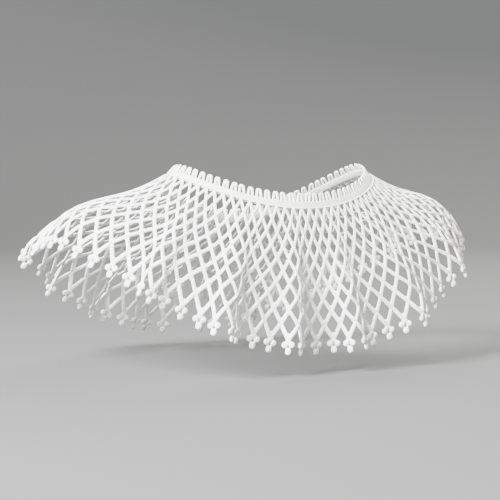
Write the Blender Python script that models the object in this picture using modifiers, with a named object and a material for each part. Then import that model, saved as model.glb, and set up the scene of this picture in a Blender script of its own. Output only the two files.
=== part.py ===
"""Detachable collar of diamond net, held in the shape it has when it is worn.

Metres, +Z up, the wearer faces -Y and the wearer's left is +X. The origin is the centre of
the neck ring, level with the net's top edge where it crosses the shoulders.
"""
import math

import bmesh
import bpy
import numpy as np
from mathutils import Matrix, Vector

# Net: columns of diamonds round the neck, rows of crossings from band to hem
COLUMNS = 75
ROWS = 10
HEM_PITCH = 0.0172
NET_SIDE_LENGTH = 0.120
HALF = COLUMNS / 2

# Neck ring, the net's top edge
RING_HALF_WIDTH = 0.100
RING_BACK_DEPTH = 0.0685
RING_FRONT_DEPTH = 0.084
RING_BACK_DROP = 0.028
RING_FRONT_DROP = 0.045
RING_DROP_POWER = 1.75

# Wall thicknesses
NET_THICK = 0.0018
NET_CELL_SHARE = 0.67
BAND_THICK = 0.0020
LOOP_THICK = 0.0018
PICOT_THICK = 0.0024
SEAM_GAP = 0.0003
HEM_SEAM_GAP = 0.0005

# Neckband and the loops above it, heights measured up from the net's top edge
BAND_HEIGHT = 0.0058
BAND_UPRIGHT = 0.35
LOOP_STRIP = 0.0010
LOOP_HEIGHT = 0.0074
LOOP_HALF_WIDTH = 0.36
LOOP_TOP_HALF_WIDTH = 0.27
LOOP_SHOULDER = 0.0011

# Hem cord and picots
HEM_CORD = 0.0034
PICOT_CENTRE = 0.0064
LOBE_RADIUS = 0.0029
LOBE_POINTS = 5
# Lobes: metres across and down from the picot's centre, then the arc's start and end in degrees
LOBES = (
    (-0.0033, -0.0012, -60, -235),
    (0.0, 0.0038, 200, -20),
    (0.0033, -0.0012, 55, -120),
)

# Centre front
FRONT_GAP = 0.0016
BUTTON_RADIUS = 0.0042
BUTTON_THICK = 0.0024
BUTTON_X = 0.0055
BUTTON_RISE = 0.0006
SHANK_RADIUS = 0.0012
SHANK_LENGTH = 0.0024
# Button's turned profile: share of its radius, and share of its thickness above the underside
BUTTON_PROFILE = ((0.0, 1.0), (0.45, 0.96), (0.85, 0.75), (1.0, 0.46), (0.9, 0.12), (0.8, 0.0))
BUTTON_STEPS = 20
THREAD_RADIUS = 0.0005
THREAD_TURN_STEP = -18
LOOP_ROOT_X = -0.0055

# Hem outline over the wearer's left half, from the centre back to the centre front: x, y, z
HEM_STATIONS = (
    (0.000, 0.080, -0.146),
    (0.066, 0.090, -0.138),
    (0.122, 0.080, -0.116),
    (0.153, 0.060, -0.093),
    (0.188, 0.032, -0.071),
    (0.204, -0.002, -0.058),
    (0.200, -0.058, -0.067),
    (0.174, -0.098, -0.095),
    (0.120, -0.129, -0.128),
    (0.060, -0.146, -0.147),
    (0.000, -0.151, -0.153),
)
HEM_STEPS = 60

# Flutes: column of the crest (0 at the centre back, + towards the wearer's left), half-width
# in columns, and how far the fold stands out at the hem
FLUTES = (
    (12.2, 0.95, 0.0185),
    (7.4, 1.00, 0.0195),
    (2.5, 0.88, 0.017),
    (-2.5, 0.88, 0.017),
    (-7.0, 1.00, 0.013),
    (-12.0, 1.10, 0.013),
    (-23.5, 1.05, 0.016),
    (-28.0, 0.95, 0.017),
    (-32.5, 0.95, 0.016),
    (32.5, 0.95, 0.016),
    (28.0, 0.95, 0.017),
    (23.5, 1.05, 0.016),
    (-36.0, 0.90, 0.008),
    (36.0, 0.90, 0.008),
)
FLUTE_GROWTH = 1.3
LEAST_STEP_SHARE = 0.15

# Bulge of the net between band and hem: how far, and the power that sets where it peaks
SHOULDER_LIFT = 0.0175
SHOULDER_POWER = 2.7
BACK_ROUNDING = 0.005
BACK_POWER = 1

# Steps that the drape is read at
COLUMN_SAMPLES = 3001
RING_SAMPLES = 2401
NORMAL_STEP = 0.5
DOWN_STEP = 0.02
HEIGHT_STEP = 0.001
BAND_LEAN_DOWN = 0.08

# Colour and roughness
LACE_WHITE = ((0.93, 0.925, 0.90), 0.75)
BAND_CREAM = ((0.91, 0.90, 0.86), 0.8)
BUTTON_CREAM = ((0.93, 0.92, 0.88), 0.3)


def smooth_loop(points, steps):
    """Closed smooth curve through the points, each span cut into equal parameter steps."""
    points = np.asarray(points, float)
    count = len(points)
    t = np.linspace(0, 1, steps, endpoint=False)[:, None]
    spans = []
    for i in range(count):
        a, b, c, d = (points[(i + k) % count] for k in (-1, 0, 1, 2))
        spans.append(0.5 * (2 * b + (c - a) * t + (2 * a - 5 * b + 4 * c - d) * t**2
                            + (3 * b - a - 3 * c + d) * t**3))
    return np.concatenate(spans + [points[:1]])


def lengths_along(points):
    """Distance along a polyline at each of its points."""
    steps = np.linalg.norm(np.diff(points, axis=0), axis=1)
    return np.concatenate([[0], np.cumsum(steps)])


def read_at(where, known, values):
    """Each coordinate of values, read at where by straight interpolation."""
    return np.stack([np.interp(where, known, values[:, i]) for i in range(3)], axis=-1)


def unit(vectors):
    """Vectors of length 1."""
    return vectors / np.maximum(np.linalg.norm(vectors, axis=-1, keepdims=True), 1e-12)


def ring_curve(angle):
    """Neck ring at an angle from the centre back, positive towards the wearer's left."""
    back = np.cos(angle) > 0
    depth = np.where(back, RING_BACK_DEPTH, RING_FRONT_DEPTH)
    drop = np.where(back, RING_BACK_DROP, RING_FRONT_DROP)
    fall = drop * np.abs(np.cos(angle)) ** RING_DROP_POWER
    return np.stack([RING_HALF_WIDTH * np.sin(angle), depth * np.cos(angle), -fall], axis=-1)


def hem_outline():
    """The hem with its folds smoothed away, from the centre back round the wearer's left."""
    left = list(HEM_STATIONS)
    right = [(-x, y, z) for x, y, z in left[1:-1][::-1]]
    return smooth_loop(left + right, HEM_STEPS)


def drape_tables():
    """Column positions with the ring point, the hem point, the outward normal and the fold."""
    column = np.linspace(-HALF, HALF, COLUMN_SAMPLES)
    fold = sum(out * np.exp(-((column - at) / wide) ** 2) for at, wide, out in FLUTES)
    slope = np.gradient(fold, column)
    step = np.sqrt(np.maximum(HEM_PITCH**2 - slope**2, (LEAST_STEP_SHARE * HEM_PITCH) ** 2))
    used = lengths_along(np.stack([np.cumsum(step), 0 * step, 0 * step], axis=-1))
    used -= np.interp(0, column, used)

    angle = np.linspace(-math.pi, math.pi, RING_SAMPLES)
    ring = ring_curve(angle)
    along = lengths_along(ring)
    along -= np.interp(0, angle, along)
    end = along[-1] - FRONT_GAP / 2
    ring_points = read_at(column / HALF * end, along, ring)

    hem = hem_outline()
    along = lengths_along(hem)
    around = along[-1]
    reach = (around / 2 - FRONT_GAP) / max(used[-1], -used[0])
    hem_points = read_at(np.mod(used * reach, around), along, hem)
    tangent = unit(np.gradient(hem_points, column, axis=0))
    normal = unit(np.cross((0, 0, 1), tangent))
    return column, ring_points, hem_points, normal, fold


TABLES = drape_tables()


def bulge(down, power):
    """Curve that is 0 at band and hem and 1 at its peak, which a higher power moves down."""
    peak = power / (power + 1)
    return np.clip(down, 0, 1) ** power * (1 - down) / (peak**power * (1 - peak))


def net_point(column, down):
    """Point of the net's plain inner side: column round the neck, down from 0 (band) to 1 (picot)."""
    known, ring, hem, normal, fold = TABLES
    column = np.asarray(column, float)
    down = np.asarray(down, float)[..., None]
    top, low = read_at(column, known, ring), read_at(column, known, hem)
    out = read_at(column, known, normal)
    stand = np.interp(column, known, fold)[..., None]
    run = np.linalg.norm((low - top)[..., :2], axis=-1, keepdims=True)
    fall = top[..., 2:] - low[..., 2:]
    point = top * (1 - down) + low * down + out * stand * np.abs(down) ** FLUTE_GROWTH
    lift = bulge(down, SHOULDER_POWER) * SHOULDER_LIFT * run / NET_SIDE_LENGTH
    rounding = bulge(down, BACK_POWER) * BACK_ROUNDING * fall / NET_SIDE_LENGTH
    point = point + out * rounding
    point[..., 2:] += lift
    return point


def net_outward(column, down):
    """Unit vector out of the net's outer side."""
    column, down = np.asarray(column, float), np.asarray(down, float)
    around = net_point(column + NORMAL_STEP, down) - net_point(column - NORMAL_STEP, down)
    below = net_point(column, down + DOWN_STEP) - net_point(column, down - DOWN_STEP)
    return unit(np.cross(around, below))


def band_outward(column, height):
    """Unit vector out of the band's outer side."""
    column, height = np.asarray(column, float), np.asarray(height, float)
    around = band_point(column + NORMAL_STEP, height) - band_point(column - NORMAL_STEP, height)
    above = band_point(column, height + HEIGHT_STEP) - band_point(column, height - HEIGHT_STEP)
    return unit(np.cross(above, around))


def band_point(column, height):
    """Point on the inner side of the band or its loops, height above the net's top edge."""
    column = np.asarray(column, float)
    top = net_point(column, np.zeros_like(column))
    rise = unit(top - net_point(column, np.full_like(column, BAND_LEAN_DOWN)))
    rise = unit(rise * (1 - BAND_UPRIGHT) + np.array((0, 0, 1.0)) * BAND_UPRIGHT)
    return top + rise * np.asarray(height, float)[..., None]


def finish(name, mesh, look, parts):
    """New object for the mesh, with its own material, in the collar's collection."""
    colour, roughness = look
    material = bpy.data.materials.new(name)
    material.use_nodes = True
    shader = material.node_tree.nodes["Principled BSDF"]
    shader.inputs["Base Color"].default_value = (*colour, 1)
    shader.inputs["Roughness"].default_value = roughness
    mesh.materials.append(material)
    piece = bpy.data.objects.new(name, mesh)
    parts.objects.link(piece)
    return piece


def wall_mesh(name, inner, outer, faces):
    """Closed wall between two matching layers of points, faces listed once for the outer one."""
    count = len(inner)
    edges = {(a, b) for face in faces for a, b in zip(face, face[1:] + face[:1])}
    sides = []
    for a, b in sorted(edges):
        if (b, a) in edges:
            continue
        low, high = (a, b) if inner[a][2] < inner[b][2] else (b, a)
        sides += [(low, high, high + count), (low, high + count, low + count)]
    skin = [tuple(i + count for i in face) for face in faces]
    lining = [tuple(face[::-1]) for face in faces]
    mesh = bpy.data.meshes.new(name)
    mesh.from_pydata(np.concatenate([inner, outer]).tolist(), [], skin + lining + sides)
    shell = bmesh.new()
    shell.from_mesh(mesh)
    bmesh.ops.recalc_face_normals(shell, faces=shell.faces)
    shell.to_mesh(mesh)
    shell.free()
    mesh.shade_smooth()
    return mesh


def hem_rise(away):
    """How far up from the slanting hem cord's middle a line that lies away from it is."""
    across, fall = HEM_PITCH / 2, level(1) * NET_SIDE_LENGTH
    return away * math.hypot(across, fall) / across / NET_SIDE_LENGTH


# The points' tips end where the picots begin
HEM_TOP = 1 - PICOT_CENTRE / NET_SIDE_LENGTH


def level(row):
    """Share of the way down for a row of crossings."""
    return row / ROWS * HEM_TOP


def make_net(parts):
    """Diamond net: a wall whose crossings are full thickness and whose cells are thinner."""
    lines = np.arange(-COLUMNS, COLUMNS + 1)
    gap = hem_rise(HEM_CORD / 2 + HEM_SEAM_GAP)
    points, weight, faces = [], [], []
    for row in range(ROWS):
        for line in lines:
            tip = (line + COLUMNS) % 2 == 1
            last = row == ROWS - 1
            down = level(ROWS if tip else row) - gap if last else level(row)
            points.append((line / 2, down))
            crossing = tip == (row % 2 == 0)
            weight.append(1.0 if crossing or last else 0.0)
    across = len(lines)
    for row in range(ROWS - 1):
        for i in range(across - 1):
            a, b = row * across + i, row * across + i + 1
            c, d = b + across, a + across
            faces += [(a, b, c), (a, c, d)] if weight[a] else [(a, b, d), (b, c, d)]
    column, down = np.array(points).T
    thick = NET_THICK * (NET_CELL_SHARE + (1 - NET_CELL_SHARE) * np.array(weight))
    inner = net_point(column, down)
    outer = inner + net_outward(column, down) * thick[:, None]
    finish("net", wall_mesh("net", inner, outer, faces), LACE_WHITE, parts)


def picot_outline():
    """Three-lobed outline in metres, across and down from the picot's centre."""
    outline = []
    for x, y, start, end in LOBES:
        for angle in np.radians(np.linspace(start, end, LOBE_POINTS)):
            outline.append((x + LOBE_RADIUS * math.cos(angle), y + LOBE_RADIUS * math.sin(angle)))
    return outline


def make_picot_edging(parts):
    """Zigzag hem cord with a three-lobed picot at every point."""
    half = hem_rise(HEM_CORD / 2)
    neck = HEM_CORD / 2 / HEM_PITCH
    low = level(ROWS) + half
    spots, faces = [], []

    def add(column, down):
        spots.append((column, down))
        return len(spots) - 1

    peaks = [(add(c, level(ROWS - 1) - half), add(c, level(ROWS - 1) + half))
             for c in np.arange(-HALF, HALF + 0.5)]
    for k in range(COLUMNS):
        column = -HALF + k + 0.5
        top = add(column, level(ROWS) - half)
        left, right = add(column - neck, low), add(column + neck, low)
        (left_top, left_low), (right_top, right_low) = peaks[k], peaks[k + 1]
        faces += [(left_top, top, left, left_low), (top, right_top, right_low, right),
                  (top, right, left)]
        start = len(spots)
        for x, y in picot_outline():
            add(column + x / HEM_PITCH, 1 + y / NET_SIDE_LENGTH)
        faces.append((left, right, *range(len(spots) - 1, start - 1, -1)))
    column, down = np.array(spots).T
    inner = net_point(column, down)
    outer = inner + net_outward(column, down) * PICOT_THICK
    finish("picot_edging", wall_mesh("picot_edging", inner, outer, faces), LACE_WHITE, parts)


def make_neckband(parts):
    """Flat tape standing on the net's top edge."""
    columns = np.arange(-COLUMNS, COLUMNS + 1) / 2
    count = len(columns)
    column = np.concatenate([columns, columns])
    height = np.repeat([SEAM_GAP, SEAM_GAP + BAND_HEIGHT], count)
    faces = [(i, i + 1, count + i + 1, count + i) for i in range(count - 1)]
    outer = band_point(column, height)
    inner = outer - band_outward(column, height) * BAND_THICK
    finish("neckband", wall_mesh("neckband", inner, outer, faces), BAND_CREAM, parts)


def make_neck_loops(parts):
    """Heading: a narrow strip on the band with one upright loop for each column."""
    base = 2 * SEAM_GAP + BAND_HEIGHT
    shape = ((-LOOP_HALF_WIDTH, LOOP_HEIGHT - LOOP_SHOULDER), (-LOOP_TOP_HALF_WIDTH, LOOP_HEIGHT),
             (LOOP_TOP_HALF_WIDTH, LOOP_HEIGHT), (LOOP_HALF_WIDTH, LOOP_HEIGHT - LOOP_SHOULDER))
    spots, faces, before = [], [], None
    for k in range(COLUMNS):
        column = -HALF + k + 0.5
        start = len(spots)
        spots += [(column + side * LOOP_HALF_WIDTH, base + rise)
                  for side in (-1, 1) for rise in (0, LOOP_STRIP)]
        spots += [(column + x, base + y) for x, y in shape]
        a, b, c, d = range(start, start + 4)
        faces += [(a, c, d, b), (b, d, *range(start + 7, start + 3, -1))]
        if before is not None:
            faces.append((before[0], a, b, before[1]))
        before = (c, d)
    column, height = np.array(spots).T
    outer = band_point(column, height)
    inner = outer - band_outward(column, height) * LOOP_THICK
    finish("neck_loops", wall_mesh("neck_loops", inner, outer, faces), LACE_WHITE, parts)


def front_frame():
    """Matrix whose X runs along the band at the centre front, Y up it and Z out of it."""
    centre = band_point(np.array([HALF, -HALF]), np.array([SEAM_GAP + BAND_HEIGHT / 2] * 2))
    above = band_point(np.array([HALF]), np.array([SEAM_GAP + BAND_HEIGHT]))[0]
    middle = Vector(centre.mean(axis=0))
    up = Vector(above) - Vector(centre[0])
    up.x = 0
    up.normalize()
    side = Vector((1, 0, 0))
    out = side.cross(up)
    turn = Matrix((side, up, out)).transposed().to_4x4()
    return Matrix.Translation(middle + out * SEAM_GAP) @ turn


def make_button(parts):
    """Round shank button, a turned profile, on the wearer's left end of the band."""
    profile = [(r * BUTTON_RADIUS, SHANK_LENGTH + z * BUTTON_THICK) for r, z in BUTTON_PROFILE]
    profile += [(SHANK_RADIUS, SHANK_LENGTH), (SHANK_RADIUS, 0), (0, 0)]
    mesh = bpy.data.meshes.new("button")
    edges = [(i, i + 1) for i in range(len(profile) - 1)]
    mesh.from_pydata([(r, 0, z) for r, z in profile], edges, [])
    piece = finish("button", mesh, BUTTON_CREAM, parts)
    turned = piece.modifiers.new("Turned", "SCREW")
    turned.steps = turned.render_steps = BUTTON_STEPS
    turned.use_merge_vertices = True
    turned.merge_threshold = 0.00001
    turned.use_normal_calculate = True
    piece.matrix_world = front_frame() @ Matrix.Translation((BUTTON_X, BUTTON_RISE, 0))


def make_button_loop(parts):
    """Thread loop from the wearer's right end of the band round the button's shank."""
    radius = SHANK_RADIUS + THREAD_RADIUS + SEAM_GAP
    turn = [math.radians(a) for a in range(90, -91, THREAD_TURN_STEP)]
    route = [(LOOP_ROOT_X, radius)]
    route += [(BUTTON_X + radius * math.cos(a), radius * math.sin(a)) for a in turn]
    route.append((LOOP_ROOT_X, -radius))
    curve = bpy.data.curves.new("button_loop", "CURVE")
    curve.dimensions = "3D"
    line = curve.splines.new("POLY")
    line.points.add(len(route) - 1)
    for point, (x, y) in zip(line.points, route):
        point.co = (x, y, THREAD_RADIUS, 1)
    curve.bevel_depth = THREAD_RADIUS
    curve.bevel_resolution = 2
    curve.use_fill_caps = True
    piece = finish("button_loop", curve, LACE_WHITE, parts)
    piece.matrix_world = front_frame() @ Matrix.Translation((0, BUTTON_RISE, 0))


for old in list(bpy.data.objects):
    bpy.data.objects.remove(old, do_unlink=True)
collar = bpy.data.collections.new("detachable_collar")
bpy.context.scene.collection.children.link(collar)
make_net(collar)
make_picot_edging(collar)
make_neckband(collar)
make_neck_loops(collar)
make_button(collar)
make_button_loop(collar)
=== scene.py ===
import math

import bpy
import numpy as np
from mathutils import Matrix, Vector


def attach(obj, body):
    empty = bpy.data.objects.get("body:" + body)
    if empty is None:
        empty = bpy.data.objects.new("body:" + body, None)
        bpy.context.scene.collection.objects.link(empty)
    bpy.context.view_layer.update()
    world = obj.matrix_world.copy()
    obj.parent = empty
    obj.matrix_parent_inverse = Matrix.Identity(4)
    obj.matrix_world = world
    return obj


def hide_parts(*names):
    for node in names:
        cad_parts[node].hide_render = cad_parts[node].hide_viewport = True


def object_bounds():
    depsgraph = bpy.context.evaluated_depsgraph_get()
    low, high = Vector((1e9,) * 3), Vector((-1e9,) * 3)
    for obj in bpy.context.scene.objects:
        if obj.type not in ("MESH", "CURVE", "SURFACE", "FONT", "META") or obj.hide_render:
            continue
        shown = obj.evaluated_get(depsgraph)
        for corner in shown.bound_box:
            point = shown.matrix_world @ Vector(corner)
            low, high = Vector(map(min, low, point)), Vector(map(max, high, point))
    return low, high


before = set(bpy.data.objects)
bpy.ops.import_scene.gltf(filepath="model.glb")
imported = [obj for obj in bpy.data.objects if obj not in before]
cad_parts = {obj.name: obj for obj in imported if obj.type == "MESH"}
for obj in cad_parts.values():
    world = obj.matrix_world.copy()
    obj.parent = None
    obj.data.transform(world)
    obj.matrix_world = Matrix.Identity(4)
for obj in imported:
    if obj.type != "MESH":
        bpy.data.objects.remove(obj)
solid_bounds = [list(corner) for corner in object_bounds()]


# Camera: behind the wearer's left shoulder, almost level with the neck, at the photograph's
# angle. The long lens is aimed a little below and beside the neck ring's centre.
IMAGE_SIDE = 500
FOCAL_LENGTH_PX = 1685
CAMERA_AZIMUTH = math.radians(150.5)
CAMERA_ELEVATION = math.radians(1.0)
CAMERA_DISTANCE = 1.5
NECK_CENTRE_PX = (269.5, 175.2)
SENSOR_MM = 36

towards = Vector((math.sin(CAMERA_AZIMUTH) * math.cos(CAMERA_ELEVATION),
                  -math.cos(CAMERA_AZIMUTH) * math.cos(CAMERA_ELEVATION),
                  math.sin(CAMERA_ELEVATION)))
image_right = Vector((math.cos(CAMERA_AZIMUTH), math.sin(CAMERA_AZIMUTH), 0))
image_up = towards.cross(image_right)
across = (IMAGE_SIDE / 2 - NECK_CENTRE_PX[0]) / FOCAL_LENGTH_PX
above = (NECK_CENTRE_PX[1] - IMAGE_SIDE / 2) / FOCAL_LENGTH_PX
look = (-towards + image_right * across + image_up * above).normalized()
camera = bpy.data.objects.new("camera", bpy.data.cameras.new("camera"))
camera.data.sensor_width = SENSOR_MM
camera.data.lens = FOCAL_LENGTH_PX / IMAGE_SIDE * SENSOR_MM
camera.location = towards * CAMERA_DISTANCE
camera.rotation_euler = look.to_track_quat("-Z", "Y").to_euler()
bpy.context.scene.collection.objects.link(camera)
bpy.context.scene.camera = camera


# Net: the collar's body, a diamond net of white cotton cords in satin stitch, fused where they
# cross. It is one piece, cut as a nearly full ring that is open at the centre front, and it
# hangs from the neckband in folds.
COLUMNS = 75
ROWS = 10
HALF = COLUMNS / 2
HEM_PITCH = 0.0172
NET_SIDE_LENGTH = 0.120
PICOT_CENTRE = 0.0064
RING_HALF_WIDTH = 0.100
RING_BACK_DEPTH = 0.0685
RING_FRONT_DEPTH = 0.084
RING_BACK_DROP = 0.028
RING_FRONT_DROP = 0.045
RING_DROP_POWER = 1.75
FRONT_GAP = 0.0016
# Hem outline over the wearer's left half, from the centre back to the centre front: x, y, z
HEM_STATIONS = (
    (0.000, 0.080, -0.146),
    (0.066, 0.090, -0.138),
    (0.122, 0.080, -0.116),
    (0.153, 0.060, -0.093),
    (0.188, 0.032, -0.071),
    (0.204, -0.002, -0.058),
    (0.200, -0.058, -0.067),
    (0.174, -0.098, -0.095),
    (0.120, -0.129, -0.128),
    (0.060, -0.146, -0.147),
    (0.000, -0.151, -0.153),
)
HEM_STEPS = 60
# Folds: column of the crest (0 at the centre back, + towards the wearer's left), half-width
# in columns, and how far the fold stands out at the hem
FLUTES = (
    (12.2, 0.95, 0.0185),
    (7.4, 1.00, 0.0195),
    (2.5, 0.88, 0.017),
    (-2.5, 0.88, 0.017),
    (-7.0, 1.00, 0.013),
    (-12.0, 1.10, 0.013),
    (-23.5, 1.05, 0.016),
    (-28.0, 0.95, 0.017),
    (-32.5, 0.95, 0.016),
    (32.5, 0.95, 0.016),
    (28.0, 0.95, 0.017),
    (23.5, 1.05, 0.016),
    (-36.0, 0.90, 0.008),
    (36.0, 0.90, 0.008),
)
FLUTE_GROWTH = 1.3
LEAST_STEP_SHARE = 0.15
SHOULDER_LIFT = 0.0175
SHOULDER_POWER = 2.7
BACK_ROUNDING = 0.005
BACK_POWER = 1
COLUMN_SAMPLES = 3001
RING_SAMPLES = 2401
NORMAL_STEP = 0.5
DOWN_STEP = 0.02
SAME_PLACE = 0.001
HEM_TOP = 1 - PICOT_CENTRE / NET_SIDE_LENGTH

CORD_WIDTH = 0.0031
CORD_THICK = 0.0017
CORD_LIFT = 0.0002
# Cord's section from its middle out to its edge: share of the half-width, share of the height
CORD_SECTION = ((0.42, 0.94), (0.80, 0.66), (1.0, 0.0))
CROSSING_RISE = 1.15
# Hole corners: how far the cord fills them in, how fast that fades away from the hole's rim,
# where the rounding starts along a side, and how much more it is at the hem
HOLE_ROUNDING = 0.0008
ROUNDING_POWER = 3
CORNER_SHARE = 0.17
HEM_CORNER_GAIN = 1.8
WELD_DISTANCE = 0.000005
# Widening of the cords from band to hem, the row of the net's top edge behind the tape, and
# how round the hem's points turn
HEM_CORD_GAIN = 0.42
TOP_ROW = -0.12
HEM_ROUNDING = 0.05
# Hand-made unevenness: cord widths, places of the crossings (columns, share of the way down)
# and waver of the cords between them
WIDTH_SPREAD = 0.07
PLACE_SPREAD = (0.030, 0.0020)
CORD_WAVER = 0.015
NET_SEED = 4
LACE_WHITE = (0.90, 0.895, 0.88)
# The darker lace colour is painted shade in the grooves between stitches, and also the tone of
# random darker patches
LACE_GROOVE_SHADE_AND_TONE = (0.80, 0.785, 0.75)
LACE_ROUGHNESS = 0.72
# Satin stitches over the cord, and the loose fibres between them. The thread's colour is painted
# darker in the grooves between the stitches, as painted shade, and varies in random patches of
# tone
STITCH_PITCH = 0.00055
STITCH_DEPTH = 0.00012
STITCH_WANDER = 1.6
STITCH_HEIGHT = 0.32
FIBRE_HEIGHT = 0.5
# Painted shade: how much darker the colour goes in the grooves between the stitches; the patches
# below are random tone
PAINTED_STITCH_SHADE = 0.45
PATCH_TONE = 0.9
FIBRE_SCALE = 900.0
WANDER_SCALE = 420.0
PATCH_SCALE = 38.0


def smooth_loop(points, steps):
    """Closed smooth curve through the points, each span cut into equal parameter steps."""
    points = np.asarray(points, float)
    count = len(points)
    t = np.linspace(0, 1, steps, endpoint=False)[:, None]
    spans = []
    for i in range(count):
        a, b, c, d = (points[(i + k) % count] for k in (-1, 0, 1, 2))
        spans.append(0.5 * (2 * b + (c - a) * t + (2 * a - 5 * b + 4 * c - d) * t**2
                            + (3 * b - a - 3 * c + d) * t**3))
    return np.concatenate(spans + [points[:1]])


def lengths_along(points):
    """Distance along a polyline at each of its points."""
    steps = np.linalg.norm(np.diff(points, axis=0), axis=1)
    return np.concatenate([[0], np.cumsum(steps)])


def read_at(where, known, values):
    """Each coordinate of values, read at where by straight interpolation."""
    return np.stack([np.interp(where, known, values[:, i]) for i in range(3)], axis=-1)


def unit(arrows):
    """The same arrows at length 1."""
    return arrows / np.maximum(np.linalg.norm(arrows, axis=-1, keepdims=True), 1e-12)


def ring_curve(angle):
    """Neck ring at an angle from the centre back, positive towards the wearer's left."""
    back = np.cos(angle) > 0
    depth = np.where(back, RING_BACK_DEPTH, RING_FRONT_DEPTH)
    drop = np.where(back, RING_BACK_DROP, RING_FRONT_DROP)
    fall = drop * np.abs(np.cos(angle)) ** RING_DROP_POWER
    return np.stack([RING_HALF_WIDTH * np.sin(angle), depth * np.cos(angle), -fall], axis=-1)


def drape_tables():
    """Column positions with the ring point, the hem point, the outward normal and the fold."""
    column = np.linspace(-HALF, HALF, COLUMN_SAMPLES)
    fold = sum(out * np.exp(-((column - at) / wide) ** 2) for at, wide, out in FLUTES)
    slope = np.gradient(fold, column)
    step = np.sqrt(np.maximum(HEM_PITCH**2 - slope**2, (LEAST_STEP_SHARE * HEM_PITCH) ** 2))
    used = lengths_along(np.stack([np.cumsum(step), 0 * step, 0 * step], axis=-1))
    used -= np.interp(0, column, used)

    angle = np.linspace(-math.pi, math.pi, RING_SAMPLES)
    ring = ring_curve(angle)
    along = lengths_along(ring)
    along -= np.interp(0, angle, along)
    end = along[-1] - FRONT_GAP / 2
    ring_points = read_at(column / HALF * end, along, ring)

    left = list(HEM_STATIONS)
    right = [(-x, y, z) for x, y, z in left[1:-1][::-1]]
    hem = smooth_loop(left + right, HEM_STEPS)
    along = lengths_along(hem)
    around = along[-1]
    reach = (around / 2 - FRONT_GAP) / max(used[-1], -used[0])
    hem_points = read_at(np.mod(used * reach, around), along, hem)
    tangent = unit(np.gradient(hem_points, column, axis=0))
    normal = unit(np.cross((0, 0, 1), tangent))
    return column, ring_points, hem_points, normal, fold


def bulge(down, power):
    """Curve that is 0 at band and hem and 1 at its peak, which a higher power moves down."""
    peak = power / (power + 1)
    return np.clip(down, 0, 1) ** power * (1 - down) / (peak**power * (1 - peak))


TABLES = drape_tables()


def net_point(column, down):
    """Point of the drape: column round the neck, down from 0 (band) to 1 (picots)."""
    known, ring, hem, normal, fold = TABLES
    column = np.asarray(column, float)
    down = np.asarray(down, float)[..., None]
    top, low = read_at(column, known, ring), read_at(column, known, hem)
    out = read_at(column, known, normal)
    stand = np.interp(column, known, fold)[..., None]
    run = np.linalg.norm((low - top)[..., :2], axis=-1, keepdims=True)
    fall = top[..., 2:] - low[..., 2:]
    point = top * (1 - down) + low * down + out * stand * np.abs(down) ** FLUTE_GROWTH
    lift = bulge(down, SHOULDER_POWER) * SHOULDER_LIFT * run / NET_SIDE_LENGTH
    rounding = bulge(down, BACK_POWER) * BACK_ROUNDING * fall / NET_SIDE_LENGTH
    point = point + out * rounding
    point[..., 2:] += lift
    return point


def net_outward(column, down):
    """Unit vector out of the net's outer side."""
    column, down = np.asarray(column, float), np.asarray(down, float)
    around = net_point(column + NORMAL_STEP, down) - net_point(column - NORMAL_STEP, down)
    below = net_point(column, down + DOWN_STEP) - net_point(column, down - DOWN_STEP)
    return unit(np.cross(around, below))


def net_downward(column, down):
    """Unit vector down the net, from the band to the hem."""
    return unit(net_point(column, down + DOWN_STEP) - net_point(column, down - DOWN_STEP))


def hem_row(column):
    """Row of the hem cord, whose points turn in a small curve at every whole column."""
    off = 2 * np.abs(column - np.round(column))
    reach = math.hypot(1, HEM_ROUNDING) - HEM_ROUNDING
    return ROWS - (np.hypot(off, HEM_ROUNDING) - HEM_ROUNDING) / reach


def net_cells():
    """Corners of every gap of the net as (column, row), anticlockwise from outside."""
    last = int(HALF)
    cells = []
    for k in range(-last, last + 1):
        cells += [[(k, r), (k + 0.5, r + 1), (k, r + 2), (k - 0.5, r + 1)]
                  for r in range(0, ROWS - 1, 2)]
    for k in range(-last, last):
        cells.append([(k, TOP_ROW), (k + 1, TOP_ROW), (k + 1, 0), (k + 0.5, 1), (k, 0)])
        cells += [[(k + 0.5, r), (k + 1, r + 1), (k + 0.5, r + 2), (k, r + 1)]
                  for r in range(1, ROWS - 2, 2)]
    cells.append([(-HALF, TOP_ROW), (-last, TOP_ROW), (-last, 0), (-HALF, 1)])
    cells.append([(last, TOP_ROW), (HALF, TOP_ROW), (HALF, 1), (last, 0)])
    for r in range(1, ROWS - 2, 2):
        cells.append([(-HALF, r), (-last, r + 1), (-HALF, r + 2)])
        cells.append([(HALF, r), (HALF, r + 2), (last, r + 1)])
    return cells


def new_tree(name, inputs):
    """Geometry node tree with a geometry in and out, and named inputs with their defaults."""
    tree = bpy.data.node_groups.new(name, "GeometryNodeTree")
    tree.interface.new_socket("Geometry", in_out="OUTPUT", socket_type="NodeSocketGeometry")
    tree.interface.new_socket("Geometry", in_out="INPUT", socket_type="NodeSocketGeometry")
    for label, kind, value in inputs:
        socket = tree.interface.new_socket(label, in_out="INPUT", socket_type=kind)
        if value is not None:
            socket.default_value = value
    return tree, tree.nodes.new("NodeGroupInput"), tree.nodes.new("NodeGroupOutput")


def add_node(tree, kind, settings=None, inputs=None):
    """Node of that kind, its settings made and its inputs set or linked."""
    node = tree.nodes.new(kind)
    for name, value in (settings or {}).items():
        setattr(node, name, value)
    for name, value in (inputs or {}).items():
        socket = node.inputs[name]
        if isinstance(value, bpy.types.NodeSocket):
            tree.links.new(value, socket)
        else:
            socket.default_value = value
    return node


def attribute(tree, name, kind):
    """Field that reads a named attribute."""
    return add_node(tree, "GeometryNodeInputNamedAttribute", {"data_type": kind},
                    {"Name": name}).outputs["Attribute"]


def maths(tree, operation, *values):
    """Output of a math node on one or two values or sockets."""
    return add_node(tree, "ShaderNodeMath", {"operation": operation},
                    dict(enumerate(values))).outputs[0]


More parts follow.
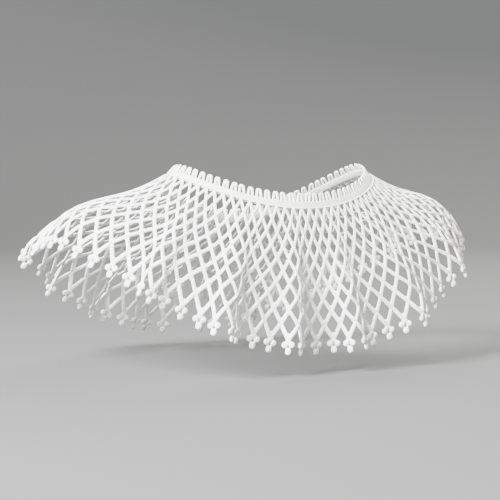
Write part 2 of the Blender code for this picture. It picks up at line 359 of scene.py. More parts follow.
def end_tree(tree, given, out, geometry):
    """The tree's last nodes: smooth shading, real geometry and the material."""
    smooth = add_node(tree, "GeometryNodeSetShadeSmooth", None, {"Geometry": geometry})
    real = add_node(tree, "GeometryNodeRealizeInstances", None,
                    {"Geometry": smooth.outputs["Geometry"]})
    painted = add_node(tree, "GeometryNodeSetMaterial", None, {
        "Geometry": real.outputs["Geometry"], "Material": given.outputs["Material"]})
    tree.links.new(painted.outputs["Geometry"], out.inputs["Geometry"])


def vectors(tree, operation, *values):
    """Output of a vector math node on its vectors, or on a vector and a scale."""
    names = ("Vector", "Scale") if operation == "SCALE" else (0, 1)
    return add_node(tree, "ShaderNodeVectorMath", {"operation": operation},
                    dict(zip(names, values))).outputs["Vector"]


def net_tree():
    """Insets every cell ring by ring, opens its hole, and gives the cords their round section."""
    tree, given, out = new_tree("net_of_round_cords", [
        ("Cord Width", "NodeSocketFloat", CORD_WIDTH),
        ("Cord Thickness", "NodeSocketFloat", CORD_THICK),
        ("Hole Rounding", "NodeSocketFloat", HOLE_ROUNDING),
        ("Material", "NodeSocketMaterial", None),
    ])
    width = maths(tree, "MULTIPLY", given.outputs["Cord Width"],
                  attribute(tree, "width_share", "FLOAT"))
    spent = maths(tree, "DIVIDE", width, maths(tree, "MULTIPLY", 2.0,
                                               attribute(tree, "inner_radius", "FLOAT")))
    place = add_node(tree, "GeometryNodeInputPosition").outputs["Position"]
    inwards = vectors(tree, "NORMALIZE", vectors(
        tree, "SUBTRACT", attribute(tree, "cell_centre", "FLOAT_VECTOR"), place))
    upright = add_node(tree, "ShaderNodeVectorMath", {"operation": "DOT_PRODUCT"}, {
        0: inwards, 1: attribute(tree, "downward", "FLOAT_VECTOR")}).outputs["Value"]
    pull = maths(tree, "MULTIPLY", maths(tree, "MULTIPLY", upright, upright),
                 maths(tree, "MULTIPLY", given.outputs["Hole Rounding"],
                       attribute(tree, "corner", "FLOAT")))
    mesh, middle, left = given.outputs["Geometry"], None, None
    for reach, height in CORD_SECTION:
        inset = add_node(tree, "GeometryNodeExtrudeMesh", {"mode": "FACES"}, {
            "Mesh": mesh, "Offset Scale": 0.0, "Individual": True})
        if middle is not None:
            tree.links.new(middle, inset.inputs["Selection"])
        now = maths(tree, "SUBTRACT", 1.0, maths(tree, "MULTIPLY", spent, reach))
        scale = now if left is None else maths(tree, "DIVIDE", now, left)
        middle, left = inset.outputs["Top"], now
        smaller = add_node(tree, "GeometryNodeScaleElements", {"domain": "FACE"}, {
            "Geometry": inset.outputs["Mesh"], "Selection": middle, "Scale": scale})
        rounded = add_node(tree, "GeometryNodeSetPosition", None, {
            "Geometry": smaller.outputs["Geometry"], "Selection": middle,
            "Offset": vectors(tree, "SCALE", inwards,
                              maths(tree, "MULTIPLY", pull, reach**ROUNDING_POWER))})
        kept = add_node(tree, "GeometryNodeStoreNamedAttribute", {
            "data_type": "FLOAT", "domain": "POINT"}, {
                "Geometry": rounded.outputs["Geometry"], "Selection": middle, "Name": "rise",
                "Value": height})
        mesh = kept.outputs["Geometry"]
    rings = add_node(tree, "GeometryNodeDeleteGeometry", {"domain": "FACE", "mode": "ONLY_FACE"}, {
        "Geometry": mesh, "Selection": middle}).outputs["Geometry"]
    both = add_node(tree, "GeometryNodeJoinGeometry")
    for side in (0.5, -0.5):
        amount = maths(tree, "MULTIPLY", maths(tree, "MULTIPLY", given.outputs["Cord Thickness"],
                                               attribute(tree, "rise", "FLOAT")), side)
        skin = add_node(tree, "GeometryNodeSetPosition", None, {
            "Geometry": rings, "Offset": vectors(
                tree, "SCALE", attribute(tree, "outward", "FLOAT_VECTOR"), amount)})
        skin = skin.outputs["Geometry"]
        if side < 0:
            skin = add_node(tree, "GeometryNodeFlipFaces", None, {"Mesh": skin}).outputs["Mesh"]
        tree.links.new(skin, both.inputs["Geometry"])
    closed = add_node(tree, "GeometryNodeMergeByDistance", None, {
        "Geometry": both.outputs["Geometry"], "Distance": WELD_DISTANCE})
    end_tree(tree, given, out, closed.outputs["Geometry"])
    return tree


def run_tree(piece, tree, values):
    """Puts the piece through the tree and keeps the result as its plain mesh."""
    modifier = piece.modifiers.new(tree.name, "NODES")
    modifier.node_group = tree
    for socket in tree.interface.items_tree:
        if socket.in_out == "INPUT" and socket.name in values:
            modifier[socket.identifier] = values[socket.name]
    graph = bpy.context.evaluated_depsgraph_get()
    mesh = bpy.data.meshes.new_from_object(
        piece.evaluated_get(graph), preserve_all_data_layers=True, depsgraph=graph)
    piece.modifiers.remove(modifier)
    piece.data = mesh


def new_piece(name, points, edges, faces):
    """Object with that mesh, in the scene."""
    mesh = bpy.data.meshes.new(name)
    mesh.from_pydata(np.asarray(points).tolist(), edges, faces)
    piece = bpy.data.objects.new(name, mesh)
    bpy.context.scene.collection.objects.link(piece)
    return piece


def store(piece, name, kind, domain, values):
    """Attribute of the piece's mesh."""
    data = piece.data.attributes.new(name, kind, domain).data
    field = "vector" if kind == "FLOAT_VECTOR" else "value"
    data.foreach_set(field, np.asarray(values, np.float32).ravel())


def noise(tree, place, scale, detail):
    """Value of a noise texture at a place."""
    return add_node(tree, "ShaderNodeTexNoise", None, {
        "Vector": place, "Scale": scale, "Detail": detail}).outputs["Fac"]


def new_material(name):
    """Node material with its tree and its Principled shader."""
    material = bpy.data.materials.new(name)
    material.use_nodes = True
    return material, material.node_tree, material.node_tree.nodes["Principled BSDF"]


def sockets_of(sockets, kind):
    """Those of the sockets that carry that kind of value, in their order."""
    return [socket for socket in sockets if socket.type == kind]


def mix_colours(tree, factor, first, second):
    """Colour that goes from the first to the second with the factor."""
    mix = add_node(tree, "ShaderNodeMix", {"data_type": "RGBA"}, {"Factor": factor})
    for socket, colour in zip(sockets_of(mix.inputs, "RGBA"), (first, second)):
        socket.default_value = (*colour, 1)
    return sockets_of(mix.outputs, "RGBA")[0]


def thread_group():
    """Shader group: satin stitches over a cord, from the distance along it, and loose fibres. Its
    Shade output is painted shade in the grooves between the stitches, mixed with random patches of
    tone.
    """
    group = bpy.data.node_groups.new("wrapped_thread", "ShaderNodeTree")
    for label, value in (("Along", 0.0), ("Stitch Pitch", STITCH_PITCH),
                         ("Fibre Scale", FIBRE_SCALE)):
        socket = group.interface.new_socket(label, in_out="INPUT", socket_type="NodeSocketFloat")
        socket.default_value = value
    group.interface.new_socket("Height", in_out="OUTPUT", socket_type="NodeSocketFloat")
    group.interface.new_socket("Shade", in_out="OUTPUT", socket_type="NodeSocketFloat")
    given, out = group.nodes.new("NodeGroupInput"), group.nodes.new("NodeGroupOutput")
    place = add_node(group, "ShaderNodeTexCoord").outputs["Object"]
    wander = noise(group, place, WANDER_SCALE, 2.0)
    fibres = noise(group, place, given.outputs["Fibre Scale"], 3.0)
    patches = noise(group, place, PATCH_SCALE, 2.0)
    turns = maths(group, "DIVIDE", given.outputs["Along"], given.outputs["Stitch Pitch"])
    turns = maths(group, "ADD", turns, maths(group, "MULTIPLY", wander, STITCH_WANDER))
    wave = maths(group, "SINE", maths(group, "MULTIPLY", turns, 2 * math.pi))
    ridge = maths(group, "MULTIPLY", maths(group, "ADD", wave, 1.0), STITCH_HEIGHT)
    height = maths(group, "ADD", ridge, maths(group, "MULTIPLY", fibres, FIBRE_HEIGHT))
    # Painted shade darkens the colour in the stitch grooves; the patches add random tone
    shade = maths(group, "ADD", maths(group, "MULTIPLY", ridge, PAINTED_STITCH_SHADE),
                  maths(group, "MULTIPLY", patches, PATCH_TONE))
    group.links.new(height, out.inputs["Height"])
    group.links.new(maths(group, "MINIMUM", shade, 1.0), out.inputs["Shade"])
    return group


def thread_material():
    """Satin-stitched cotton, with the distance along the cord from the drape attribute, and
    painted shade in the grooves between the stitches.
    """
    material, tree, shader = new_material("lace_thread")
    shader.inputs["Roughness"].default_value = LACE_ROUGHNESS
    shader.inputs["Sheen Weight"].default_value = 0.25
    shader.inputs["Sheen Roughness"].default_value = 0.5
    shader.inputs["Specular IOR Level"].default_value = 0.3
    drape = add_node(tree, "ShaderNodeAttribute", {"attribute_name": "drape"})
    parts = add_node(tree, "ShaderNodeSeparateXYZ", None, {"Vector": drape.outputs["Vector"]})
    thread = add_node(tree, "ShaderNodeGroup", {"node_tree": thread_group()},
                      {"Along": parts.outputs["Y"]})
    # Colour from the Shade output: painted shade in the stitch grooves, and random tone
    colour = mix_colours(tree, thread.outputs["Shade"], LACE_GROOVE_SHADE_AND_TONE, LACE_WHITE)
    bump = add_node(tree, "ShaderNodeBump", None, {
        "Height": thread.outputs["Height"], "Distance": STITCH_DEPTH, "Strength": 1.0})
    tree.links.new(colour, shader.inputs["Base Color"])
    tree.links.new(bump.outputs["Normal"], shader.inputs["Normal"])
    return material


lace = thread_material()

chance = np.random.default_rng(NET_SEED)
spots, cell_faces = {}, []
for corners in net_cells():
    face = []
    for near, far in zip(corners, corners[1:] + corners[:1]):
        for share in (0, CORNER_SHARE, 1 - CORNER_SHARE):
            spot = tuple(round(a + (b - a) * share, 5) for a, b in zip(near, far))
            face.append(spots.setdefault(spot, len(spots)))
    cell_faces.append(face)
column, row = np.array(list(spots)).T
crossing = np.isclose(2 * column, np.round(2 * column)) & (np.isclose(row, np.round(row))
                                                           | (row == TOP_ROW))
row = np.where(row > ROWS - 1, hem_row(column), row)
at_front = np.abs(column) > HALF - SAME_PLACE
inside = (row > 0) & (row < ROWS - 1) & ~at_front
edge = (row <= TOP_ROW) | (row > ROWS - 1 - SAME_PLACE) | at_front
waver = np.where(crossing, PLACE_SPREAD[0], CORD_WAVER)
column = column + chance.normal(size=len(column)) * waver * inside
down = row / ROWS * HEM_TOP
down = down + chance.normal(size=len(row)) * PLACE_SPREAD[1] * (inside & crossing)
outward = net_outward(column, down)
base = net_point(column, down) + outward * (CORD_LIFT + CORD_THICK / 2)
net = new_piece("lace_net", base, [], cell_faces)
store(net, "outward", "FLOAT_VECTOR", "POINT", outward)
store(net, "rise", "FLOAT", "POINT", np.where(edge, 0, np.where(crossing, CROSSING_RISE, 1.0)))
store(net, "corner", "FLOAT", "POINT", crossing * np.where(row == ROWS, HEM_CORNER_GAIN, 1))
store(net, "downward", "FLOAT_VECTOR", "POINT", net_downward(column, down))
store(net, "drape", "FLOAT_VECTOR", "POINT",
      np.stack([column * HEM_PITCH, down * NET_SIDE_LENGTH, 0 * down], axis=1))
share = (1 + HEM_CORD_GAIN * (down - 0.5)) * (1 + WIDTH_SPREAD * chance.normal(size=len(down)))
store(net, "width_share", "FLOAT", "FACE", [share[face].mean() for face in cell_faces])
radii, centres = [], []
for face in cell_faces:
    rim = base[face]
    centre = rim.mean(axis=0)
    to_next = np.roll(rim, -1, axis=0) - rim
    area = np.linalg.norm(np.cross(rim - centre, to_next), axis=1).sum() / 2
    radii.append(2 * area / np.linalg.norm(to_next, axis=1).sum())
    centres.append(centre)
store(net, "inner_radius", "FLOAT", "FACE", radii)
store(net, "cell_centre", "FLOAT_VECTOR", "FACE", centres)
run_tree(net, net_tree(), {"Cord Width": CORD_WIDTH, "Cord Thickness": CORD_THICK,
                           "Hole Rounding": HOLE_ROUNDING, "Material": lace})
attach(net, "root")
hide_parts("net")


# Hem cord and front edges: a thicker flat cord that finishes the net's last row of points
# and its two cut edges at the centre front. It is worked in one with the net.
HEM_CORD_WIDTH = 0.0037
HEM_CORD_THICK = 0.0019
EDGE_CORD_WIDTH = 0.0026
HEM_OFFSETS = (-0.5, -0.38, -0.25, -0.14, -0.06, 0.0, 0.06, 0.14, 0.25, 0.38)
EDGE_STEPS = 46
EDGE_INSET = 0.03


def cord_tree():
    """Flat cord along every chain of edges, its flat side turned to the outward attribute."""
    tree, given, out = new_tree("flat_cord", [
        ("Width", "NodeSocketFloat", CORD_WIDTH),
        ("Thickness", "NodeSocketFloat", CORD_THICK),
        ("Sides", "NodeSocketInt", 10),
        ("Material", "NodeSocketMaterial", None),
    ])
    line = add_node(tree, "GeometryNodeMeshToCurve", None, {"Mesh": given.outputs["Geometry"]})
    turned = add_node(tree, "GeometryNodeSetCurveNormal", {"mode": "FREE"}, {
        "Curve": line.outputs["Curve"], "Normal": attribute(tree, "outward", "FLOAT_VECTOR")})
    circle = add_node(tree, "GeometryNodeCurvePrimitiveCircle", {"mode": "RADIUS"}, {
        "Resolution": given.outputs["Sides"], "Radius": 0.5})
    flat = add_node(tree, "ShaderNodeCombineXYZ", None, {
        "X": given.outputs["Thickness"], "Y": given.outputs["Width"], "Z": 1.0})
    section = add_node(tree, "GeometryNodeTransform", None, {
        "Geometry": circle.outputs["Curve"], "Scale": flat.outputs["Vector"]})
    swept = add_node(tree, "GeometryNodeCurveToMesh", None, {
        "Curve": turned.outputs["Curve"], "Profile Curve": section.outputs["Geometry"],
        "Fill Caps": True})
    end_tree(tree, given, out, swept.outputs["Mesh"])
    return tree


def cord_lines(name, lines):
    """Piece of edge chains, each line an array of points, outward vectors and drape places."""
    points = np.concatenate([line[0] for line in lines])
    edges, start = [], 0
    for line in lines:
        count = len(line[0])
        edges += [(start + i, start + i + 1) for i in range(count - 1)]
        start += count
    piece = new_piece(name, points, edges, [])
    store(piece, "outward", "FLOAT_VECTOR", "POINT", np.concatenate([line[1] for line in lines]))
    store(piece, "drape", "FLOAT_VECTOR", "POINT", np.concatenate([line[2] for line in lines]))
    return piece


def net_line(column, down, lift):
    """Line on the drape, lifted off it, with what a cord along it needs."""
    out = net_outward(column, down)
    points = net_point(column, down) + out * lift
    run = lengths_along(points)
    return points, out, np.stack([column * HEM_PITCH, run, 0 * run], axis=1)


FLAT_CORD = cord_tree()
wall_middle = CORD_LIFT + CORD_THICK / 2
column = np.concatenate([k + np.array(HEM_OFFSETS) for k in range(-int(HALF), int(HALF) + 1)]
                        + [np.array([HALF])])
hem_line = net_line(column, hem_row(column) / ROWS * HEM_TOP, wall_middle)
hem_cord = cord_lines("hem_cord", [hem_line])
run_tree(hem_cord, FLAT_CORD, {"Width": HEM_CORD_WIDTH, "Thickness": HEM_CORD_THICK,
                               "Sides": 10, "Material": lace})
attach(hem_cord, "root")

down = np.linspace(0, (ROWS - 1) / ROWS * HEM_TOP, EDGE_STEPS)
edge_lines = [net_line(np.full(EDGE_STEPS, side * (HALF - EDGE_INSET)), down, wall_middle)
              for side in (-1, 1)]
front_edges = cord_lines("front_edges", edge_lines)
run_tree(front_edges, FLAT_CORD, {"Width": EDGE_CORD_WIDTH, "Thickness": HEM_CORD_THICK,
                                  "Sides": 10, "Material": lace})
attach(front_edges, "root")


# Picots: a raised satin motif of three round lobes about an eyelet hangs from every point of
# the hem on a short web. Each is stitched in one with the hem cord and turns its own way.
LOBE_RADIUS = 0.0027
LOBE_THICK = 0.0030
LOBE_FULLNESS = 0.8
# Lobes: across and down from the picot's centre, how much longer than wide, and the power that
# squares the outline, which is round at 1
LOBES = ((-0.0032, -0.0012, 1.0, 1.0), (0.0, 0.0043, 1.12, 0.78), (0.0032, -0.0012, 1.0, 1.0))
LOBE_SEGMENTS = 14
LOBE_RINGS = 8
# Web between the hem's point and the lobes: down from the centre, and half its width
WEB = ((-0.0062, 0.0016), (-0.0044, 0.0028), (-0.0016, 0.0032))
WEB_THICK = 0.0018
WEB_SIDES = 10
# Eyelet ring that joins the lobes round the picot's centre hole
EYELET_Y = 0.0001
EYELET_RADIUS = 0.0020
EYELET_THICK = 0.0017
EYELET_STEPS = (14, 6)
PICOT_DROP = 0.0056
# Most that a picot turns about its own length, and leans sideways, in radians
PICOT_TWIST = 0.30
PICOT_LEAN = 0.14
PICOT_SEED = 11


def ring_quads(start, rings, around, inside_out=False):
    """Quads from each ring of points to the next, turned over where the rings run backwards."""
    quads = []
    for near in range(start, start + (rings - 1) * around, around):
        for i in range(around):
            j = (i + 1) % around
            quad = (near + i, near + j, near + around + j, near + around + i)
            quads.append((quad[0], *quad[:0:-1]) if inside_out else quad)
    return quads


def add_lobe(verts, faces, x, y, longer, power):
    """Flattened ball whose poles lie on its two flat sides."""
    start = len(verts)
    verts.append((x, y, LOBE_THICK / 2))
    for j in range(1, LOBE_RINGS):
        tilt = math.pi * j / LOBE_RINGS
        reach = LOBE_RADIUS * math.sin(tilt) ** LOBE_FULLNESS
        for i in range(LOBE_SEGMENTS):
            turn = 2 * math.pi * i / LOBE_SEGMENTS
            c, s = (math.copysign(abs(v) ** power, v) for v in (math.cos(turn), math.sin(turn)))
            verts.append((x + reach * c, y + reach * s * longer, LOBE_THICK / 2 * math.cos(tilt)))
    verts.append((x, y, -LOBE_THICK / 2))
    end = len(verts) - 1
    for i in range(LOBE_SEGMENTS):
        j = (i + 1) % LOBE_SEGMENTS
        faces.append((start, start + 1 + i, start + 1 + j))
        faces.append((end, end - LOBE_SEGMENTS + j, end - LOBE_SEGMENTS + i))
    faces += ring_quads(start + 1, LOBE_RINGS - 1, LOBE_SEGMENTS, inside_out=True)


def add_web(verts, faces):
    """Flat tube that widens from the hem's point to the lobes, closed at both ends."""
    start = len(verts)
    for y, half in WEB:
        for i in range(WEB_SIDES):
            turn = 2 * math.pi * i / WEB_SIDES
            verts.append((half * math.cos(turn), y, WEB_THICK / 2 * math.sin(turn)))
    last = len(verts) - WEB_SIDES
    faces += ring_quads(start, len(WEB), WEB_SIDES)
    faces.append(tuple(range(start, start + WEB_SIDES))[::-1])
    faces.append(tuple(range(last, last + WEB_SIDES)))


def add_eyelet(verts, faces):
    """Round cord in a ring, flat in the picot's plane."""
    start = len(verts)
    along, around = EYELET_STEPS
    for i in range(along):
        a = 2 * math.pi * i / along
        for j in range(around):
            b = 2 * math.pi * j / around
            reach = EYELET_RADIUS + EYELET_THICK / 2 * math.cos(b)
            verts.append((reach * math.cos(a), EYELET_Y + reach * math.sin(a),
                          EYELET_THICK / 2 * math.sin(b)))
    points = along * around
    for quad in ring_quads(0, along + 1, around, inside_out=True):
        faces.append(tuple(start + corner % points for corner in quad))


def picot_mesh():
    """One picot in the XY plane, with +Y down the net."""
    verts, faces = [], []
    for lobe in LOBES:
        add_lobe(verts, faces, *lobe)
    add_web(verts, faces)
    add_eyelet(verts, faces)
    return new_piece("picot_pattern", verts, [], faces)


def picot_tree():
    """A picot on every point, turned to the drape and a little its own way."""
    tree, given, out = new_tree("picots_on_points", [
        ("Picot", "NodeSocketObject", None),
        ("Twist", "NodeSocketFloat", PICOT_TWIST),
        ("Lean", "NodeSocketFloat", PICOT_LEAN),
        ("Seed", "NodeSocketInt", PICOT_SEED),
        ("Material", "NodeSocketMaterial", None),
    ])
    pattern = add_node(tree, "GeometryNodeObjectInfo", None, {"Object": given.outputs["Picot"]})
    facing = add_node(tree, "FunctionNodeAxesToRotation",
                      {"primary_axis": "Z", "secondary_axis": "Y"}, {
                          "Primary Axis": attribute(tree, "outward", "FLOAT_VECTOR"),
                          "Secondary Axis": attribute(tree, "downward", "FLOAT_VECTOR")})
    turn = []
    for k, amount in enumerate(("Twist", "Lean")):
        seed = maths(tree, "ADD", given.outputs["Seed"], float(k))
        less = maths(tree, "MULTIPLY", given.outputs[amount], -1.0)
        pick = add_node(tree, "FunctionNodeRandomValue", {"data_type": "FLOAT"}, {"Seed": seed})
        low, high = sockets_of(pick.inputs, "VALUE")[:2]
        tree.links.new(less, low)
        tree.links.new(given.outputs[amount], high)
        turn.append(sockets_of(pick.outputs, "VALUE")[0])
    own = add_node(tree, "ShaderNodeCombineXYZ", None, {"Y": turn[0], "Z": turn[1]})
    rotated = add_node(tree, "FunctionNodeRotateRotation", {"rotation_space": "LOCAL"}, {
        "Rotation": facing.outputs["Rotation"], "Rotate By": own.outputs["Vector"]})
    placed = add_node(tree, "GeometryNodeInstanceOnPoints", None, {
        "Points": given.outputs["Geometry"], "Instance": pattern.outputs["Geometry"],
        "Rotation": rotated.outputs["Rotation"]})
    end_tree(tree, given, out, placed.outputs["Instances"])
    return tree


pattern = picot_mesh()
store(pattern, "drape", "FLOAT_VECTOR", "POINT",
      [(v.co.x, v.co.y + v.co.x, 0) for v in pattern.data.vertices])
column = np.arange(-int(HALF), int(HALF) + 1).astype(float)
ones = np.ones_like(column)
outward = net_outward(column, ones)
downward = net_downward(column, ones)
tips = net_point(column, ones * HEM_TOP) + outward * wall_middle
picots = new_piece("picots", tips + downward * PICOT_DROP, [], [])
store(picots, "outward", "FLOAT_VECTOR", "POINT", outward)
store(picots, "downward", "FLOAT_VECTOR", "POINT", downward)
run_tree(picots, picot_tree(), {"Picot": pattern, "Twist": PICOT_TWIST, "Lean": PICOT_LEAN,
                                "Seed": PICOT_SEED, "Material": lace})
bpy.data.objects.remove(pattern)
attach(picots, "root")
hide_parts("picot_edging")


# Neckband: a flat braided cotton tape, a shade creamier than the net, that the net's top row
# and the heading loops are stitched to.
SEAM_GAP = 0.0003
BAND_HEIGHT = 0.0058
BAND_UPRIGHT = 0.35
BAND_LEAN_DOWN = 0.08
HEIGHT_STEP = 0.001
TAPE_THICK = 0.0017
TAPE_LOW = -0.0004
TAPE_STEPS = 4
TAPE_CORNER = 0.0006
TAPE_CREAM = (0.88, 0.87, 0.83)
# The tape's darker colour is painted shade in the hollows of the braid
TAPE_HOLLOW_SHADE = (0.76, 0.74, 0.69)
TAPE_ROUGHNESS = 0.85
BRAID_PITCH = 0.0011
BRAID_DEPTH = 0.00018
TAPE_FIBRE_SCALE = 800.0
TAPE_FIBRE_HEIGHT = 0.6


def band_point(column, height):
    """Point on the outer side of the band or its loops, height above the net's top edge."""
    column = np.asarray(column, float)
    top = net_point(column, np.zeros_like(column))
    rise = unit(top - net_point(column, np.full_like(column, BAND_LEAN_DOWN)))
    rise = unit(rise * (1 - BAND_UPRIGHT) + np.array((0, 0, 1.0)) * BAND_UPRIGHT)
    return top + rise * np.asarray(height, float)[..., None]


def band_outward(column, height):
    """Unit vector out of the band's outer side."""
    column, height = np.asarray(column, float), np.asarray(height, float)
    around = band_point(column + NORMAL_STEP, height) - band_point(column - NORMAL_STEP, height)
    above = band_point(column, height + HEIGHT_STEP) - band_point(column, height - HEIGHT_STEP)
    return unit(np.cross(above, around))


def tape_section():
    """Rounded section as (height, depth behind the outer side), once round."""
    low, high = TAPE_LOW, SEAM_GAP + BAND_HEIGHT + SEAM_GAP
    c, t = TAPE_CORNER, TAPE_THICK
    return [(low + c, 0), ((low + high) / 2, 0), (high - c, 0), (high - c / 4, c / 4), (high, c),
            (high, t - c), (high - c / 4, t - c / 4), (high - c, t), ((low + high) / 2, t),
            (low + c, t), (low + c / 4, t - c / 4), (low, t - c), (low, c), (low + c / 4, c / 4)]


def tape_material():
    """Fine diagonal braid in the tape's own coordinates, along it and up it, with painted shade in
    the braid's hollows.
    """
    material, tree, shader = new_material("band_tape")
    shader.inputs["Roughness"].default_value = TAPE_ROUGHNESS
    shader.inputs["Sheen Weight"].default_value = 0.2
    shader.inputs["Specular IOR Level"].default_value = 0.25
    drape = add_node(tree, "ShaderNodeAttribute", {"attribute_name": "drape"})
    parts = add_node(tree, "ShaderNodeSeparateXYZ", None, {"Vector": drape.outputs["Vector"]})
    waves = []
    for sign in (-1.0, 1.0):
        slant = maths(tree, "ADD", parts.outputs["X"],
                      maths(tree, "MULTIPLY", parts.outputs["Y"], sign))
        waves.append(maths(tree, "SINE", maths(tree, "MULTIPLY", slant,
                                               2 * math.pi / BRAID_PITCH)))
    braid = maths(tree, "MULTIPLY", maths(tree, "ADD", maths(tree, "MULTIPLY", *waves), 1.0), 0.5)
    place = add_node(tree, "ShaderNodeTexCoord").outputs["Object"]
    fibres = noise(tree, place, TAPE_FIBRE_SCALE, 3.0)
    height = maths(tree, "ADD", braid, maths(tree, "MULTIPLY", fibres, TAPE_FIBRE_HEIGHT))
    bump = add_node(tree, "ShaderNodeBump", None, {
        "Height": height, "Distance": BRAID_DEPTH, "Strength": 1.0})
    # Colour follows the braid's height: painted shade in its hollows, lighter on its ridges
    colour = mix_colours(tree, braid, TAPE_HOLLOW_SHADE, TAPE_CREAM)
    tree.links.new(colour, shader.inputs["Base Color"])
    tree.links.new(bump.outputs["Normal"], shader.inputs["Normal"])
    return material


columns = np.linspace(-HALF, HALF, COLUMNS * TAPE_STEPS + 1)
section = tape_section()
verts, place = [], []
ring_run = lengths_along(band_point(columns, np.zeros_like(columns)))
for height, depth in section:
    heights = np.full_like(columns, height)
    verts.append(band_point(columns, heights) - band_outward(columns, heights) * depth)
    place.append(np.stack([ring_run, heights, 0 * heights], axis=1))
verts = np.stack(verts, axis=1).reshape(-1, 3)
place = np.stack(place, axis=1).reshape(-1, 3)
around = len(section)
faces = ring_quads(0, len(columns), around)
faces.append(tuple(range(around))[::-1])
faces.append(tuple(range(len(verts) - around, len(verts))))
tape = new_piece("neck_tape", verts, [], faces)
store(tape, "drape", "FLOAT_VECTOR", "POINT", place)
tape.data.shade_smooth()
tape.data.materials.append(tape_material())
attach(tape, "root")
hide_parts("neckband")


# Heading: one upright loop of flat cord above each column of the net, stitched to the tape's
# top edge. The loops lean and open unevenly, as soft loops do.
LOOP_HEIGHT = 0.0074
LOOP_CORD_WIDTH = 0.0024
LOOP_CORD_THICK = 0.0017
LOOP_FOOT = -0.0010
# Loop outline: side, how near the corner of its squared top, and share of its height
LOOP_OUTLINE = ((-1, 1.0, 0.0), (-1, 1.0, 0.35), (-1, 1.0, 0.66), (-1, 0.97, 0.79),
                (-1, 0.76, 0.86), (-1, 0.25, 0.865), (1, 0.25, 0.865), (1, 0.76, 0.86),
                (1, 0.97, 0.79), (1, 1.0, 0.66), (1, 1.0, 0.35), (1, 1.0, 0.0))
# Half-widths at base and top, lean of the top and spread of the half-widths, in columns
LOOP_BASE_HALF = 0.255
LOOP_TOP_HALF = 0.155
LOOP_LEAN = 0.07
LOOP_SPREAD = 0.022
LOOP_SEED = 23

chance = np.random.default_rng(LOOP_SEED)
shape = np.array(LOOP_OUTLINE)
loop_base = SEAM_GAP + BAND_HEIGHT + SEAM_GAP
lines = []
for k in range(COLUMNS):
    lean, low, top = chance.normal(size=3) * (LOOP_LEAN, LOOP_SPREAD, LOOP_SPREAD)
    side, corner, rise = shape.T
    half = (LOOP_BASE_HALF + low) * (1 - rise) + (LOOP_TOP_HALF + top) * rise
    column = k + 0.5 - HALF + side * corner * half + lean * rise
    height = loop_base + np.where(rise > 0, rise * LOOP_HEIGHT, LOOP_FOOT)
    out = band_outward(column, height)
    points = band_point(column, height) - out * TAPE_THICK / 2
    run = lengths_along(points)
    lines.append((points, out, np.stack([0 * run, run, 0 * run], axis=1)))
loops = cord_lines("heading_loops", lines)
run_tree(loops, FLAT_CORD, {"Width": LOOP_CORD_WIDTH, "Thickness": LOOP_CORD_THICK,
                            "Sides": 8, "Material": lace})
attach(loops, "root")
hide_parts("neck_loops")


# Button and its thread loop: a small moulded shank button on the wearer's left end of the
# tape, and a worked thread loop from the other end round its shank.
BUTTON_RADIUS = 0.0042
BUTTON_THICK = 0.0024
BUTTON_X = 0.0055
BUTTON_RISE = 0.0006
SHANK_RADIUS = 0.0012
SHANK_LENGTH = 0.0024
SHANK_FOOT = 0.0001
THREAD_RADIUS = 0.0005
THREAD_STEPS = 15
LOOP_ROOT_X = -0.0055
BUTTON_SEGMENTS = 48
# Button's turned profile: share of its radius, and share of its thickness above the underside
BUTTON_PROFILE = ((0.0, 0.86), (0.30, 0.87), (0.55, 0.90), (0.70, 0.98), (0.80, 1.0),
                  (0.90, 0.93), (0.98, 0.72), (1.0, 0.46), (0.97, 0.24), (0.9, 0.08), (0.8, 0.0))
BUTTON_CREAM = (0.80, 0.78, 0.72)
BUTTON_SHADE = (0.70, 0.67, 0.60)
BUTTON_ROUGHNESS = 0.28
CLOUD_SCALE = 260.0


def front_frame():
    """Matrix whose X runs along the band at the centre front, Y up it and Z out of it."""
    ends = np.array([HALF, -HALF])
    centre = band_point(ends, np.full(2, SEAM_GAP + BAND_HEIGHT / 2))
    above = band_point(ends, np.full(2, SEAM_GAP + BAND_HEIGHT))
    up = Vector(above[0]) - Vector(centre[0])
    up.x = 0
    up.normalize()
    side = Vector((1, 0, 0))
    out = side.cross(up)
    turn = Matrix((side, up, out)).transposed().to_4x4()
    return Matrix.Translation(Vector(centre.mean(axis=0)) + out * SEAM_GAP) @ turn


def button_material():
    """Moulded cream button with faint clouding under a soft gloss."""
    material, tree, shader = new_material("button_cream")
    shader.inputs["Roughness"].default_value = BUTTON_ROUGHNESS
    shader.inputs["Coat Weight"].default_value = 0.3
    place = add_node(tree, "ShaderNodeTexCoord").outputs["Object"]
    clouds = noise(tree, place, CLOUD_SCALE, 3.0)
    colour = mix_colours(tree, clouds, BUTTON_SHADE, BUTTON_CREAM)
    tree.links.new(colour, shader.inputs["Base Color"])
    return material


profile = [(r * BUTTON_RADIUS, SHANK_LENGTH + z * BUTTON_THICK) for r, z in BUTTON_PROFILE]
profile += [(SHANK_RADIUS, SHANK_LENGTH), (SHANK_RADIUS, SHANK_FOOT)]
verts = [(0, 0, profile[0][1])]
for r, z in profile[1:]:
    verts += [(r * math.cos(a), r * math.sin(a), z)
              for a in np.linspace(0, 2 * math.pi, BUTTON_SEGMENTS, endpoint=False)]
faces = [(0, 1 + i, 1 + (i + 1) % BUTTON_SEGMENTS) for i in range(BUTTON_SEGMENTS)]
faces += ring_quads(1, len(profile) - 1, BUTTON_SEGMENTS, inside_out=True)
faces.append(tuple(range(len(verts) - BUTTON_SEGMENTS, len(verts)))[::-1])
button = new_piece("shank_button", verts, [], faces)
button.data.transform(front_frame() @ Matrix.Translation((BUTTON_X, BUTTON_RISE, 0)))
button.data.shade_smooth()
button.data.materials.append(button_material())
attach(button, "root")
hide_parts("button")

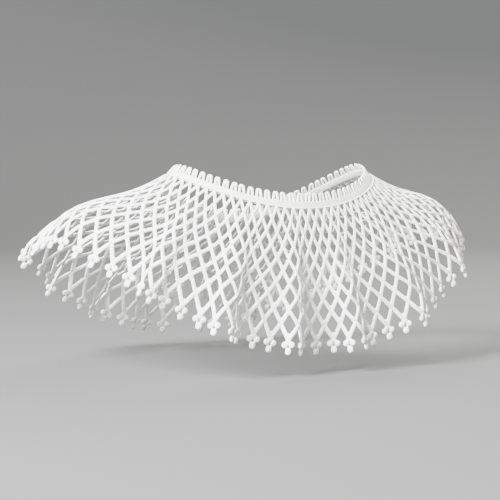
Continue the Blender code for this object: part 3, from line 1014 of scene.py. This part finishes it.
radius = SHANK_RADIUS + THREAD_RADIUS + SEAM_GAP
turn = np.linspace(math.pi / 2, -math.pi / 2, THREAD_STEPS)
route = np.array([(LOOP_ROOT_X, radius, THREAD_RADIUS)]
                 + [(BUTTON_X + radius * math.cos(a), radius * math.sin(a), THREAD_RADIUS)
                    for a in turn] + [(LOOP_ROOT_X, -radius, THREAD_RADIUS)])
place = front_frame() @ Matrix.Translation((0, BUTTON_RISE, 0))
points = np.array([place @ Vector(p) for p in route])
out = np.tile(np.array(place.to_3x3() @ Vector((0, 0, 1))), (len(points), 1))
run = lengths_along(points)
thread = cord_lines("button_thread", [(points, out, np.stack([0 * run, run, 0 * run], axis=1))])
run_tree(thread, FLAT_CORD, {"Width": 2 * THREAD_RADIUS, "Thickness": 2 * THREAD_RADIUS,
                             "Sides": 8, "Material": lace})
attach(thread, "root")
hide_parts("button_loop")


# Setting: a plain pale floor that sweeps up all round into a plain low wall, lit by one large
# soft light from the camera's left, weaker ones from its right and from behind, and a pale sky.
FLOOR_COLOUR = (0.084, 0.084, 0.083)
FLOOR_ROUGHNESS = 0.9
FLOOR_DROP = 0.004
SWEEP_AT = 1.7
SWEEP_RADIUS = 0.8
WALL_TOP = 1.3
SWEEP_STEPS = 16
FLOOR_SIDES = 96

floor_z = solid_bounds[0][2] - FLOOR_DROP
path = [(SWEEP_AT + SWEEP_RADIUS * math.sin(a), SWEEP_RADIUS * (1 - math.cos(a)))
        for a in np.linspace(0, math.pi / 2, SWEEP_STEPS + 1)]
path.append((SWEEP_AT + SWEEP_RADIUS, WALL_TOP))
verts = []
for away, height in path:
    verts += [(away * math.cos(a), away * math.sin(a), floor_z + height)
              for a in np.linspace(0, 2 * math.pi, FLOOR_SIDES, endpoint=False)]
faces = [tuple(range(FLOOR_SIDES))]
faces += ring_quads(0, len(path), FLOOR_SIDES, inside_out=True)
floor = new_piece("floor", verts, [], faces)
floor.data.shade_smooth()
paper, _, shader = new_material("floor_paper")
shader.inputs["Base Color"].default_value = (*FLOOR_COLOUR, 1)
shader.inputs["Roughness"].default_value = FLOOR_ROUGHNESS
floor.data.materials.append(paper)

SKY_COLOUR = (0.95, 0.97, 1.0)
SKY_STRENGTH = 0.15
# Lights: name, watts, side in metres, colour, and place as right, towards the camera and up
LIGHTS = (
    ("key", 430.0, 0.8, (0.97, 0.985, 1.0), (-1.05, 1.35, 1.15)),
    ("fill", 22.0, 1.4, (1.0, 0.94, 0.86), (1.4, 1.3, 0.9)),
    ("front", 85.0, 1.2, (1.0, 0.98, 0.95), (0.5, -1.5, 1.25)),
)
nearer = Vector((towards.x, towards.y, 0)).normalized()
for name, power, size, colour, (right, near, up) in LIGHTS:
    light = bpy.data.lights.new(name, "AREA")
    light.color = colour
    light.energy = power
    light.size = size
    lamp = bpy.data.objects.new(name, light)
    lamp.location = image_right * right + nearer * near + Vector((0, 0, up))
    lamp.rotation_euler = (-lamp.location).to_track_quat("-Z", "Y").to_euler()
    bpy.context.scene.collection.objects.link(lamp)
world = bpy.data.worlds.new("studio")
world.use_nodes = True
sky = world.node_tree.nodes["Background"]
sky.inputs["Color"].default_value = (*SKY_COLOUR, 1)
sky.inputs["Strength"].default_value = SKY_STRENGTH
bpy.context.scene.world = world
